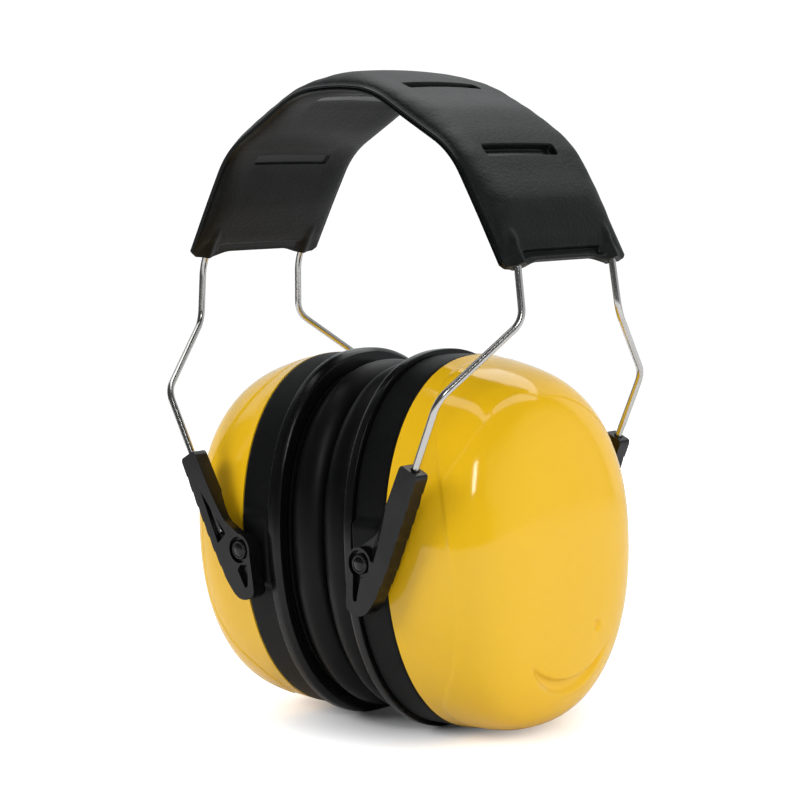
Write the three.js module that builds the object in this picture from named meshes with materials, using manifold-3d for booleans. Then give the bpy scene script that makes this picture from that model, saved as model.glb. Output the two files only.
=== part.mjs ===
// Hearing protection earmuffs: two double-shelled ear cups on a sprung double-wire headband.
// Millimetres, +Z up. The origin is on the floor under the middle of the muffs.
// +X runs from the left cup to the right cup, and -Y is the front.

import * as THREE from "three";
import { mergeVertices } from "three/addons/utils/BufferGeometryUtils.js";
import Module from "manifold-3d";

const wasm = await Module();
wasm.setup();

// ---- Driving dimensions ----

const GAP = 0.3; // between pieces that touch
const TURN = 2 * Math.PI;

// The cup is an oval lofted along X. A profile gives its half height at each depth.
const CUP = {
  height: 60.5, // of the cup's middle above the floor
  widthRatio: 0.743, // half width over half height
  exponent: 2.2, // of the superellipse outline
  segments: 28,
};

// Depths are measured along X from the plane where the two cushions meet.
const CUSHION = {
  front: 0.3,
  outer: 57.4,
  hole: 32.5,
  skin: 0.8,
  rollUp: 9.3, // half height of the roll at the edge and at the hole
  rollDeep: 6.7, // half depth of the roll
  tuck: 1, // radians that the roll goes on round behind its widest point
};
const PLATE = { front: 13, flange: 55, back: 14, clip: 19.2, outer: 43.4, wall: 2 };
const RIM = { front: 14.3, lip: 15.8, back: 19, outer: 60.9, edge: 59.4, hole: 44 };
const BAND = { front: RIM.back + GAP, back: 32, outer: 59.3, wall: 2.2 };
const INNER_DOME = { outer: 50, start: 34.5, depth: 25, wall: 2, power: 2.6 };
const SHELL = { front: BAND.back + GAP, outer: 59.6, depth: 37, wall: 2.2, power: 3.9, crown: 0.1 };
const ABSORBER = { front: 40, outer: 44.5 };

// A spring wire: the pad's end, the two bends and the straight leg that the arm slides on.
const WIRE = {
  radius: 1.15,
  padEnd: new THREE.Vector3(70.2, 22, 150.5),
  upperBend: new THREE.Vector3(72.1, 22.6, 131.7),
  lowerBend: new THREE.Vector3(60.6, 48, 110.5),
  bendRadius: 4,
  leg: 51,
  steps: 40,
};
const LEG_DIRECTION = new THREE.Vector2(-0.443, -0.8965).normalize();
const LEG_SHOWN = 23.2; // wire between the lower bend and the arm

// The arm's outline runs s down the wire from the arm's mouth, and t inboard from the wire.
const ARM = {
  thickness: 5,
  bore: WIRE.radius + 0.35,
  boreDepth: 48,
  pivot: { s: 36.5, t: 7.6 },
  boss: 5.2,
  recess: 3.5,
  recessDepth: 1.3,
  slotDepth: 1.2,
};
const PIN = { shaft: 1.9, head: 3, headThickness: 1.1, inside: 38 };
const LUG = { height: 23, inner: 41, outer: 45.2 };

// The pad's middle line from the crown over its two bends to its end.
const PAD_LINE = [
  new THREE.Vector3(0, 0, 206),
  new THREE.Vector3(17.5, 0, 204.6),
  new THREE.Vector3(50, 0, 185.4),
  new THREE.Vector3(70.2, 0, 150),
];
const PAD = { halfWidth: 28.6, cover: 1.2, space: 3.4, foamHalfWidth: 19.5, bend: 8, bendSteps: 4 };

const FINISHES = {
  yellowPlastic: { color: 0xf2b61c, roughness: 0.22, metalness: 0 },
  mattePlastic: { color: 0x17181a, roughness: 0.55, metalness: 0 },
  glossPlastic: { color: 0x0e0f10, roughness: 0.25, metalness: 0 },
  cushionVinyl: { color: 0x141516, roughness: 0.42, metalness: 0 },
  leatherette: { color: 0x121313, roughness: 0.6, metalness: 0 },
  foam: { color: 0x3a3c40, roughness: 0.95, metalness: 0 },
  springSteel: { color: 0xc9c9c6, roughness: 0.2, metalness: 1 },
};

// ---- Helpers ----

function named(name, geometry, finish) {
  const mesh = new THREE.Mesh(geometry, new THREE.MeshStandardMaterial(FINISHES[finish]));
  mesh.name = name;
  return mesh;
}

function toSolid(geometry) {
  const bare = new THREE.BufferGeometry().setAttribute("position", geometry.getAttribute("position"));
  if (geometry.index) bare.setIndex(geometry.index);
  const merged = mergeVertices(bare, 1e-3);
  return new wasm.Manifold(
    new wasm.Mesh({
      numProp: 3,
      vertProperties: new Float32Array(merged.getAttribute("position").array),
      triVerts: new Uint32Array(merged.index.array),
    }),
  );
}

function toGeometry(solid) {
  const mesh = solid.getMesh();
  const geometry = new THREE.BufferGeometry();
  geometry.setAttribute("position", new THREE.BufferAttribute(mesh.vertProperties, 3));
  geometry.setIndex(new THREE.BufferAttribute(mesh.triVerts, 1));
  geometry.computeVertexNormals();
  return geometry;
}

// Raises a cosine or sine to the superellipse's power and keeps its sign.
function squared(value, exponent) {
  return Math.sign(value) * Math.abs(value) ** (2 / exponent);
}

// An oval body round the cup's middle line. Each profile point is [half height, depth], and
// taper(depth) lowers the upper half of the oval there.
function ovalBody(profile, taper = () => 1) {
  const points = profile.map(([radius, depth]) => new THREE.Vector2(radius, depth));
  const geometry = new THREE.LatheGeometry(points, CUP.segments);
  const position = geometry.getAttribute("position");
  for (let i = 0; i < position.count; i += 1) {
    const radius = Math.hypot(position.getX(i), position.getZ(i));
    const angle = Math.atan2(position.getX(i), position.getZ(i));
    const across = squared(Math.cos(angle), CUP.exponent);
    const up = squared(Math.sin(angle), CUP.exponent);
    const depth = position.getY(i);
    const height = radius * up * (up > 0 ? taper(depth) : 1);
    position.setXYZ(i, depth, radius * CUP.widthRatio * across, CUP.height + height);
  }
  const solid = toSolid(geometry);
  return solid.volume() < 0 ? toSolid(flipped(geometry)) : solid;
}

function flipped(geometry) {
  const index = geometry.index.clone();
  for (let i = 0; i < index.count; i += 3) {
    const first = index.getX(i);
    index.setX(i, index.getX(i + 1));
    index.setX(i + 1, first);
  }
  return geometry.clone().setIndex(index);
}

// Half heights and depths along a dome that closes at its apex, from its open edge.
function domeProfile(outer, start, depth, power, count) {
  return Array.from({ length: count + 1 }, (_, i) => {
    const part = Math.sin((i / count) * (Math.PI / 2)) ** 0.8;
    return [i === count ? 0 : outer * (1 - part ** power) ** (1 / power), start + depth * part];
  });
}

// A plate in the XZ plane, from the front face at Y = -outer to the back face at Y = -inner.
function platePrism(points, inner, outer) {
  const geometry = new THREE.ExtrudeGeometry(new THREE.Shape(points), {
    depth: outer - inner,
    bevelEnabled: false,
  });
  return geometry.rotateX(Math.PI / 2).translate(0, -inner, 0);
}

// A round bar along Y, centred on X and Z.
function crossBar(radius, x, z, yFrom, yTo, sides = 16) {
  const bar = new THREE.CylinderGeometry(radius, radius, yTo - yFrom, sides);
  return toSolid(bar.translate(0, (yFrom + yTo) / 2, 0).translate(x, 0, z));
}

// ---- Cup pieces, drawn for the right cup ----

function shellTaper(depth) {
  return 1 - SHELL.crown * Math.max(0, (depth - SHELL.front) / SHELL.depth);
}

function outerShell() {
  const { front, outer, depth, wall, power } = SHELL;
  const inside = domeProfile(outer - wall, front, depth - wall, power, 6).reverse();
  const outside = domeProfile(outer, front, depth, power, 8);
  return toGeometry(ovalBody([...inside, ...outside], shellTaper));
}

function innerDomeSolid() {
  const { outer, start, depth, wall, power } = INNER_DOME;
  const outside = domeProfile(outer, start, depth, power, 5);
  const inside = domeProfile(outer - wall, start, depth - wall, power, 5).reverse();
  const band = BAND.outer;
  const spigot = SHELL.outer - SHELL.wall - 3 * GAP;
  return ovalBody([
    ...inside,
    [band - BAND.wall - 2, start - 2],
    [band - BAND.wall - 2, BAND.front],
    [band - 0.5, BAND.front],
    [band, BAND.front + 0.8],
    [band, BAND.back],
    [spigot, BAND.back],
    [spigot, start],
    ...outside,
  ]);
}

// The cup's pivot axis, where both pins cross its side walls.
function pivotPoint() {
  const mouth = armPoint(0, 0);
  return armPoint(ARM.pivot.s, ARM.pivot.t, mouth);
}

// The band with the closed inner cup behind it, and a pivot lug in front and behind.
function innerCup() {
  const pivot = pivotPoint();
  const lug = new THREE.Shape()
    .moveTo(BAND.front, pivot.y - LUG.height / 2)
    .lineTo(BAND.back - 2, pivot.y - LUG.height / 2)
    .lineTo(BAND.back, pivot.y - LUG.height / 2 + 3)
    .lineTo(BAND.back, pivot.y + LUG.height / 2 - 3)
    .lineTo(BAND.back - 2, pivot.y + LUG.height / 2)
    .lineTo(BAND.front, pivot.y + LUG.height / 2);
  let solid = innerDomeSolid();
  for (const turn of [0, Math.PI]) {
    const plate = platePrism(lug.getPoints(), LUG.inner, LUG.outer);
    if (turn) plate.translate(0, LUG.inner + LUG.outer, 0);
    solid = solid.add(toSolid(plate));
  }
  const hole = crossBar(PIN.shaft + GAP, pivot.x, pivot.y, -LUG.outer - 1, LUG.outer + 1);
  return toGeometry(solid.subtract(hole));
}

// The lipped rim that the cushion clips into, with a flat foot where it stands on the floor.
function rimRing() {
  const { front, lip, back, outer, edge, hole } = RIM;
  const solid = ovalBody([
    [hole, front],
    [edge, front],
    [outer, lip],
    [outer, back - 0.5],
    [outer - 0.5, back],
    [hole, back],
    [hole, front],
  ]);
  const floor = new THREE.BoxGeometry(100, 200, 20).translate(0, 0, -10);
  return toGeometry(solid.subtract(toSolid(floor)));
}

function spacerFoam() {
  const thickness = 3.2;
  const outer = SHELL.outer - SHELL.wall - 2 * GAP;
  const inner = INNER_DOME.outer + 2 * GAP;
  const from = INNER_DOME.start + 1;
  return toGeometry(
    ovalBody([
      [inner, from],
      [outer - 0.6, from],
      [outer - 0.9, from + 3],
      [outer - 1.2, from + thickness + 4],
      [inner + 0.4, from + thickness + 4],
      [inner, from],
    ], shellTaper),
  );
}

function absorberFoam() {
  const { outer, start, depth, wall, power } = INNER_DOME;
  const clear = 1.2;
  const back = domeProfile(outer - wall - clear, start, depth - wall - clear, power, 6);
  const used = back.filter(([, at]) => at > ABSORBER.front + 1);
  return toGeometry(
    ovalBody([[0, ABSORBER.front], [ABSORBER.outer, ABSORBER.front], ...used]),
  );
}

// The plate that the cushion is welded to. Its flange lies on the rim and its wall clips inside.
function cushionPlate() {
  const { front, flange, back, clip, outer, wall } = PLATE;
  const inner = CUSHION.hole + CUSHION.rollUp - 6;
  return toGeometry(
    ovalBody([
      [inner, front],
      [flange, front],
      [flange, back],
      [outer, back],
      [outer, clip - 1.2],
      [outer - 0.8, clip],
      [outer - wall, clip],
      [outer - wall, back + 0.4],
      [inner, back + 0.4],
      [inner, front],
    ]),
  );
}

// The cushion's rounded section, open at the plate, set in from its skin's outside by inset.
function cushionSection(inset) {
  const { front, outer, hole, rollUp, rollDeep, tuck } = CUSHION;
  const up = rollUp - inset;
  const deep = rollDeep - inset;
  const count = 5;
  const roll = Array.from({ length: count + 1 }, (_, i) => {
    const angle = -tuck + ((tuck + Math.PI / 2) * i) / count;
    return [up * Math.cos(angle), front + rollDeep - deep * Math.sin(angle)];
  });
  const edge = roll.map(([across, depth]) => [outer - rollUp + across, depth]);
  const inner = roll.map(([across, depth]) => [hole + rollUp - across, depth]).reverse();
  return [...edge, ...inner];
}

function cushionSkin() {
  const outside = cushionSection(0);
  const inside = cushionSection(CUSHION.skin).reverse();
  return toGeometry(ovalBody([...outside, ...inside, outside[0]]));
}

function cushionFoam() {
  const section = cushionSection(CUSHION.skin + GAP);
  return toGeometry(ovalBody([...section, section[0]]));
}

// ---- Arms and pins ----

// A place on the arm's outline, as X and Z.
function armPoint(s, t) {
  const mouthX = WIRE.lowerBend.x + LEG_DIRECTION.x * LEG_SHOWN;
  const mouthZ = WIRE.lowerBend.z + LEG_DIRECTION.y * LEG_SHOWN;
  return new THREE.Vector2(
    mouthX + LEG_DIRECTION.x * s + LEG_DIRECTION.y * t,
    mouthZ + LEG_DIRECTION.y * s - LEG_DIRECTION.x * t,
  );
}

function armPlate(outline, inner, outer) {
  return toSolid(platePrism(outline.map(([s, t]) => armPoint(s, t)), inner, outer));
}

// Points on a circle round the pivot, from one angle to another, as s and t.
function aroundPivot(radius, from, to, count) {
  return Array.from({ length: count + 1 }, (_, i) => {
    const angle = from + ((to - from) * i) / count;
    return [ARM.pivot.s + radius * Math.cos(angle), ARM.pivot.t + radius * Math.sin(angle)];
  });
}

// One moulded arm, used four times. Its smooth face is at -Y, and its slotted face at +Y.
function arm() {
  const middle = WIRE.lowerBend.y;
  const inner = middle - ARM.thickness / 2;
  const outer = middle + ARM.thickness / 2;
  const outline = [
    [0, -2.9],
    [1, -3.4],
    [14, -3.7],
    [32, -3.6],
    [42, -2.9],
    [49, -1.2],
    [51.5, 0.8],
    [52.3, 4],
    [51.8, 7],
    ...aroundPivot(ARM.boss, 0.35 * Math.PI, 0.8 * Math.PI, 6),
    [24, 5.8],
    [12, 4.4],
    [1, 4.1],
    [0, 3.6],
  ];
  const slot = [
    [13, 0],
    [31, -0.4],
    [30.5, 4],
  ];
  const drop = [
    [41.5, 4.2],
    [48.4, 4.4],
    [48, 5.8],
    [42.4, 9],
  ];
  const pivot = pivotPoint();
  const boreLength = ARM.boreDepth + 1;
  const bore = new THREE.CylinderGeometry(ARM.bore, ARM.bore, boreLength, 12)
    .translate(0, -boreLength / 2 + 1, 0)
    .rotateX(Math.PI / 2)
    .rotateY(Math.atan2(-LEG_DIRECTION.x, -LEG_DIRECTION.y))
    .translate(armPoint(0, 0).x, -middle, armPoint(0, 0).y);
  return armPlate(outline, inner, outer)
    .subtract(toSolid(bore))
    .subtract(armPlate(slot, inner - 1, inner + ARM.slotDepth))
    .subtract(armPlate(drop, inner - 1, inner + ARM.slotDepth))
    .subtract(crossBar(PIN.shaft + GAP, pivot.x, pivot.y, -outer - 1, -inner + 1))
    .subtract(crossBar(ARM.recess, pivot.x, pivot.y, -outer - 1, -outer + ARM.recessDepth))
    .subtract(crossBar(ARM.recess, pivot.x, pivot.y, -inner - ARM.recessDepth, -inner + 1));
}

function armAt(name, end) {
  const mesh = named(name, toGeometry(arm()), "glossPlastic");
  mesh.position.y = end === "rear" ? 2 * WIRE.lowerBend.y : 0;
  return mesh;
}

// A headed pin, drawn for the front.
function pivotPin() {
  const pivot = pivotPoint();
  const face = WIRE.lowerBend.y + ARM.thickness / 2 - ARM.recessDepth + GAP;
  const shaft = crossBar(PIN.shaft, pivot.x, pivot.y, -face - 0.1, -PIN.inside);
  const head = crossBar(PIN.head, pivot.x, pivot.y, -face - PIN.headThickness, -face);
  return shaft.add(head);
}

function pinAt(name, end) {
  const mesh = named(name, toGeometry(pivotPin()), "glossPlastic");
  if (end === "rear") {
    const pivot = pivotPoint();
    mesh.rotation.z = Math.PI;
    mesh.position.x = 2 * pivot.x;
  }
  return mesh;
}

// ---- Headband, drawn for the right half ----

// A line through points, with each corner after the first stretch turned into a round bend.
function bentLine(points, radius) {
  const path = new THREE.CurvePath();
  let from = points[0];
  for (let i = 1; i < points.length - 1; i += 1) {
    const corner = points[i];
    const cut = Math.min(radius, 0.45 * corner.distanceTo(points[i - 1]));
    const before = corner.clone().add(points[i - 1].clone().sub(corner).setLength(cut));
    const after = corner.clone().add(points[i + 1].clone().sub(corner).setLength(cut));
    path.add(new THREE.LineCurve3(from, before));
    path.add(new THREE.QuadraticBezierCurve3(before, corner, after));
    from = after;
  }
  path.add(new THREE.LineCurve3(from, points[points.length - 1]));
  return path;
}

// The pad's middle line moved outwards, as points in X and Z from the crown to the end.
function padLine(offset) {
  const line = bentLine(PAD_LINE, PAD.bend).getPoints(PAD.bendSteps);
  const last = line.length - 1;
  return line.map((point, i) => {
    if (i === 0) return new THREE.Vector2(GAP / 2, point.z + offset);
    const along = line[Math.min(i + 1, last)].clone().sub(line[i - 1]).normalize();
    return new THREE.Vector2(point.x - along.z * offset, point.z + along.x * offset);
  });
}

function padLayer(below, above, halfWidth) {
  const outline = [...padLine(below), ...padLine(above).reverse()];
  return platePrism(outline, -halfWidth, halfWidth);
}

function springWire(sign) {
  const { padEnd, upperBend, lowerBend, leg, radius, bendRadius, steps } = WIRE;
  const inPad = padLine(0)
    .slice(0, -1)
    .map((point) => new THREE.Vector3(point.x, padEnd.y, point.y));
  const end = new THREE.Vector3(
    lowerBend.x + LEG_DIRECTION.x * leg,
    lowerBend.y,
    lowerBend.z + LEG_DIRECTION.y * leg,
  );
  const points = [...inPad, padEnd, upperBend, lowerBend, end].map(
    (point) => new THREE.Vector3(point.x, sign * point.y, point.z),
  );
  const section = new THREE.Shape(
    new THREE.EllipseCurve(0, 0, radius, radius, 0, TURN).getPoints(6).slice(0, 6),
  );
  return new THREE.ExtrudeGeometry(section, { steps, extrudePath: bentLine(points, bendRadius) });
}

// ---- Assembly ----

// Everything on one side, drawn at +X. The left side is the same pieces turned half a turn.
function sideAssembly(side) {
  const ends = side === "right" ? ["front", "rear"] : ["rear", "front"];
  const group = new THREE.Group();
  const half = PAD.space / 2;
  group.add(
    named(`outer_shell_${side}`, outerShell(), "yellowPlastic"),
    named(`spacer_foam_${side}`, spacerFoam(), "foam"),
    named(`inner_cup_${side}`, innerCup(), "mattePlastic"),
    named(`absorber_foam_${side}`, absorberFoam(), "foam"),
    named(`rim_ring_${side}`, rimRing(), "glossPlastic"),
    named(`cushion_plate_${side}`, cushionPlate(), "mattePlastic"),
    named(`cushion_foam_${side}`, cushionFoam(), "foam"),
    named(`cushion_skin_${side}`, cushionSkin(), "cushionVinyl"),
    armAt(`arm_${ends[0]}_${side}`, "front"),
    armAt(`arm_${ends[1]}_${side}`, "rear"),
    pinAt(`pivot_pin_${ends[0]}_${side}`, "front"),
    pinAt(`pivot_pin_${ends[1]}_${side}`, "rear"),
    named(`wire_${ends[0]}_${side}`, springWire(-1), "springSteel"),
    named(`wire_${ends[1]}_${side}`, springWire(1), "springSteel"),
    named(`pad_cover_upper_${side}`, padLayer(half, half + PAD.cover, PAD.halfWidth), "leatherette"),
    named(`pad_cover_lower_${side}`, padLayer(-half - PAD.cover, -half, PAD.halfWidth), "leatherette"),
    named(`pad_foam_${side}`, padLayer(GAP - half, half - GAP, PAD.foamHalfWidth), "foam"),
  );
  if (side === "left") group.rotation.z = Math.PI;
  return group;
}

const earmuffs = new THREE.Group();
earmuffs.add(sideAssembly("right"), sideAssembly("left"));

export default earmuffs;
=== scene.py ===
"""Hearing protection earmuffs: finished pieces, materials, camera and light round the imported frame.

Lengths are millimetres until a mesh is made. +X runs from the left cup to the right cup, -Y is the
front and +Z is up. Cup pieces are drawn for the right cup, and the left ones are turned half a turn.
"""

import math

import bpy
import numpy as np
from mathutils import Matrix, Vector


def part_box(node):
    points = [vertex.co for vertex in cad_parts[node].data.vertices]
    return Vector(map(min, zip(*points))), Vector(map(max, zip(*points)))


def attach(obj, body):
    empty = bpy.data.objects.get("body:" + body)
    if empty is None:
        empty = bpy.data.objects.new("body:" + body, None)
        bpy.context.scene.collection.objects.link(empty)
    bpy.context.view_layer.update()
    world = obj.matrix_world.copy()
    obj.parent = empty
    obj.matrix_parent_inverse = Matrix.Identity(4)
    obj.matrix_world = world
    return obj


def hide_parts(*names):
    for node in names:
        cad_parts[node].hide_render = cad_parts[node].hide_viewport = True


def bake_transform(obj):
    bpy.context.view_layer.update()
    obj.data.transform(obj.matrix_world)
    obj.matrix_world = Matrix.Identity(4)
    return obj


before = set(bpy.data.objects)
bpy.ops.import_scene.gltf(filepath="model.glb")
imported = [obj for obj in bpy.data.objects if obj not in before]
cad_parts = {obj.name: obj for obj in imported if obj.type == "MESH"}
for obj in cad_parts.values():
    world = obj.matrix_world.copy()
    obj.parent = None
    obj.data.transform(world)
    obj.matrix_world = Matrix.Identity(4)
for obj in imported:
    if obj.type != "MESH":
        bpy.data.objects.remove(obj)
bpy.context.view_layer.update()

# ---- Sizes ----

MM = 0.001
HALF_TURN = Matrix.Rotation(math.pi, 4, "Z")


def box_mm(node):
    """The low and high corner of a CAD node's box, in millimetres."""
    low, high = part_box(node)
    return low / MM, high / MM


SHELL_LOW, SHELL_HIGH = box_mm("outer_shell_right")
RIM_LOW, RIM_HIGH = box_mm("rim_ring_right")
CUSHION_LOW, CUSHION_HIGH = box_mm("cushion_skin_right")
PLATE_LOW, PLATE_HIGH = box_mm("cushion_plate_right")
PIN_LOW, PIN_HIGH = box_mm("pivot_pin_front_right")

# Clearance between pieces that meet.
GAP = 0.3

# The cups' outline is an oval: its width is a share of its height, and its power squares it a little.
# "outer", "edge" and "hole" are half heights of such ovals, and "front" and "back" are depths along X.
CUP_HEIGHT = (CUSHION_LOW.z + CUSHION_HIGH.z) / 2
WIDTH_RATIO = 0.743
OVAL_POWER = 2.2
SEGMENTS = 320

# draft narrows the shell towards its face, rise bulges the face, and crown lowers its upper half there.
SHELL = {
    "front": SHELL_LOW.x,
    "depth": SHELL_HIGH.x - SHELL_LOW.x,
    "outer": CUP_HEIGHT - SHELL_LOW.z,
    "wall": 2.2,
    "power": 4.7,
    "draft": 0.04,
    "rise": 4,
    "crown": 0.1,
    "segments": 400,
}

# The shell's skirt lies a little lower than its dome. The step between them is at these depths, by the
# angle round the cup in degrees above its middle.
STEP = {"height": 0.32, "width": 1.7}
STEP_LINE = [
    (-90, 50), (-78, 45.5), (-67, 39.5), (-57, 37.2), (-46, 41.5), (-35, 49), (-22, 54.2),
    (-4, 55.3), (20, 52), (36, 46.5), (52, 41), (63, 37.6), (72, 36.6), (90, 37.4),
]

# The thumb recess lies between two arcs through the same tips. Places on the face are Y and the height
# above the cup's middle, and "upper" and "lower" are the lowest points of the arcs.
RECESS = {
    "tip": (19, -30.5),
    "upper": -40,
    "lower": -45.8,
    "depth": 1.6,
    "upper_ease": 1.2,
    "lower_ease": 2.1,
}
# The moulding mark is a round dip with a raised dot. Each has a height and the distances it fades over.
MARK = {"middle": (12, -25.5), "dip": 0.9, "dip_fade": (0.9, 2.2), "dot": 0.35, "dot_fade": (0.2, 0.7)}
# Depths between which the shell's side turns into its face.
FACE_FADE = (54, 58)

RIM = {"front": RIM_LOW.x, "lip": 15.8, "back": RIM_HIGH.x, "outer": 60.9, "edge": 59.4, "hole": 44}
BAND = {"front": RIM_HIGH.x + GAP, "back": SHELL_LOW.x - GAP, "outer": 59.3, "wall": 2.2}
LUG = {"height": 23, "face": 45.2}
INNER_DOME = {"outer": 50, "start": 34.5, "depth": 25, "wall": 2, "power": 2.6}
CUSHION = {
    "front": CUSHION_LOW.x,
    "outer": CUSHION_HIGH.z - CUP_HEIGHT,
    "hole": 32.5,
    "roll_up": 9.3,
    "roll_deep": 6.7,
}
PLATE = {"front": PLATE_LOW.x, "flange": 55, "back": PLATE_LOW.x + 1, "clip": PLATE_HIGH.x, "outer": 43.4}
ABSORBER = {"front": 40, "outer": 44.5, "gap": 1.2, "sunk": 0.8}

# Corners of the rear wire on the right. From the lower bend its leg runs straight down into the arm, in
# the direction LEG as X and Z. LEG_SHOWN is the length of it that shows above the arm.
WIRE = {
    "radius": 1.15,
    "pad_end": (70.2, 22, 150.5),
    "upper_bend": (72.1, 22.6, 131.7),
    "lower_bend": (60.6, 48, 110.5),
    "bend_radius": 4,
    "bend_steps": 60,
    "leg": 51,
    "rings": 900,
    "sides": 16,
}
LEG = np.array([-0.443, -0.8965]) / math.hypot(0.443, 0.8965)
LEG_SHOWN = 23.2

# Places on an arm are s, down the wire from the arm's mouth, and t, inboard of the wire.
ARM_THICKNESS = 5.0
ARM_EDGE = [(0, -2.9), (1.2, -3.45), (14, -3.7), (32, -3.6), (42, -2.9), (48.5, -1.4)]
PIVOT = (36.5, 7.6)
BOSS = 5.2
PIN_SEAT = {"radius": 4.3, "depth": 1.3}
PIN_SHAFT = 1.9
NOTCH = {"count": 7, "first": 6.2, "pitch": 5.3, "length": 4.8, "shallow": 0.1, "deep": 0.32}
BORE = {"radius": 1.5, "depth": 48}
CUT_DEPTH = {"facet": 2, "hollow": 1.6, "hole": 3.4, "slot": 2.6}
BEVEL = 0.32
# How far a cutter sticks out of what it cuts.
OVERCUT = 1

# Corners of the pad's middle line, as X and Z, from the crown to its right end.
PAD_HALF = [(0, 206), (17.5, 204.6), (50, 185.4), (70.2, 150)]
PAD_LINE = [(-x, z) for x, z in PAD_HALF[:0:-1]] + PAD_HALF
PAD = {
    "half_width": 28.6,
    "weld": 0.9,
    "shoulder": 10,
    "bend": 8,
    "edge": 0.85,
    "puff": 3.5,
    "lower_puff": 0.6,
    "droop": 1.6,
    "end_curve": 1.6,
}
PAD_SLIDE = {"middle": (0, 134), "turn": math.radians(2.7)}
# Each pressed slot: its middle along the pad from the crown, half width along the pad, half length.
RIGHT_SLOTS = [(19.6, 2.1, 16.5), (56.6, 2.1, 16.5), (91.6, 1.8, 18.5)]
SLOTS = [(-at, wide, long) for at, wide, long in RIGHT_SLOTS] + RIGHT_SLOTS
# Heights of the two sheets on a slot's floor. A slot nearer the crown than "through" only dents the
# lower sheet.
SLOT_FLOOR = {"upper": -0.2, "lower": -0.9, "through": 30}


# ---- Meshes ----

# The share of a side that the rounding of one corner may take up.
MAX_FILLET = 0.45


def linked(name, data):
    """A new object in the scene."""
    made = bpy.data.objects.new(name, data)
    bpy.context.scene.collection.objects.link(made)
    return made


def new_object(name, points, faces, material, sharp=40):
    """An object that is smooth except where faces meet at more than the sharp angle, in degrees."""
    mesh = bpy.data.meshes.new(name)
    mesh.from_pydata((np.array(points) * MM).tolist(), [], faces)
    mesh.update()
    mesh.materials.append(material)
    mesh.shade_smooth()
    mesh.set_sharp_from_angle(angle=math.radians(sharp))
    return linked(name, mesh)


def signed_volume(points, faces):
    """A multiple of the volume inside the faces, below zero when they face inwards."""
    points = np.array(points)
    total = 0.0
    for size in set(map(len, faces)):
        corners = points[[face for face in faces if len(face) == size]]
        for i in range(1, size - 1):
            total += np.sum(corners[:, 0] * np.cross(corners[:, i], corners[:, i + 1]))
    return total


def facing_out(points, faces):
    return [face[::-1] for face in faces] if signed_volume(points, faces) < 0 else faces


def skin_rings(rings, loop=False, start=None, end=None):
    """Points and outward faces of a surface through closed rings, from an array of ring, place, XYZ.

    loop joins the last ring to the first. start and end are single points that close the surface.
    """
    count, around = rings.shape[:2]
    points = rings.reshape(-1, 3).tolist()
    faces = []
    for i in range(count if loop else count - 1):
        here = i * around
        there = ((i + 1) % count) * around
        for j in range(around):
            k = (j + 1) % around
            faces.append((here + j, here + k, there + k, there + j))
    for tip, ring, turn in ((start, 0, 1), (end, count - 1, -1)):
        if tip is None:
            continue
        points.append(list(tip))
        first = ring * around
        for j in range(around):
            k = (j + 1) % around
            faces.append((len(points) - 1, first + k, first + j)[::turn])
    return points, facing_out(points, faces)


def full_turn(count):
    """Evenly spaced angles once round."""
    return np.linspace(0, 2 * math.pi, count, endpoint=False)


def squared(value):
    return np.sign(value) * np.abs(value) ** (2 / OVAL_POWER)


def oval_rings(radius, depth, segments=SEGMENTS, taper=None):
    """Rings of the cup's oval at half heights and depths, one for each ring or for each of its points.

    taper is a function of depth that the upper half's height is multiplied by.
    """
    angle = full_turn(segments)
    across = squared(np.cos(angle))[None, :]
    up = squared(np.sin(angle))[None, :]
    radius = np.asarray(radius, float).reshape(len(radius), -1)
    depth = np.asarray(depth, float).reshape(len(depth), -1)
    rings = np.zeros((len(radius), segments, 3))
    rings[..., 0] = depth
    rings[..., 1] = radius * WIDTH_RATIO * across
    height = radius * up
    if taper is not None:
        height = height * np.where(up > 0, taper(depth), 1)
    rings[..., 2] = CUP_HEIGHT + height
    return rings


def filleted(profile, radius, steps=4, closed=True):
    """Rounds the corners of a line by curves that start at most radius away from each corner."""
    points = [np.array(point, float) for point in profile]
    radii = np.broadcast_to(radius, len(points))
    result = []
    for i, corner in enumerate(points):
        if not closed and i in (0, len(points) - 1):
            result.append(corner)
            continue
        to_before = points[i - 1] - corner
        to_after = points[(i + 1) % len(points)] - corner
        length_before = np.linalg.norm(to_before)
        length_after = np.linalg.norm(to_after)
        cut = min(radii[i], MAX_FILLET * length_before, MAX_FILLET * length_after)
        first = corner + to_before * cut / length_before
        last = corner + to_after * cut / length_after
        for t in np.linspace(0, 1, steps + 1):
            result.append((1 - t) ** 2 * first + 2 * t * (1 - t) * corner + t ** 2 * last)
    return np.array(result)


def oval_piece(name, profile, material, segments=SEGMENTS, sharp=40):
    """A closed ring body round the cup from a closed profile."""
    rings = oval_rings(profile[:, 0], profile[:, 1], segments)
    return new_object(name, *skin_rings(rings, loop=True), material, sharp)


def smooth(value, low, high):
    """Rises from 0 at low to 1 at high, and is level at both."""
    t = np.clip((value - low) / (high - low), 0, 1)
    return t * t * (3 - 2 * t)


def line_lengths(points):
    """The distance along a line to each of its points."""
    return np.concatenate([[0], np.cumsum(np.linalg.norm(np.diff(points, axis=0), axis=1))])


def along_line(points, places):
    """The points at the given distances along a line."""
    lengths = line_lengths(points)
    return np.stack([np.interp(places, lengths, points[:, i]) for i in range(points.shape[1])], axis=1)


def set_points(piece, move):
    """Moves a piece's points by a function of their places in millimetres."""
    count = len(piece.data.vertices)
    flat = np.zeros(count * 3)
    piece.data.vertices.foreach_get("co", flat)
    moved = move(flat.reshape(-1, 3) / MM) * MM
    piece.data.vertices.foreach_set("co", moved.ravel())
    piece.data.update()


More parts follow.
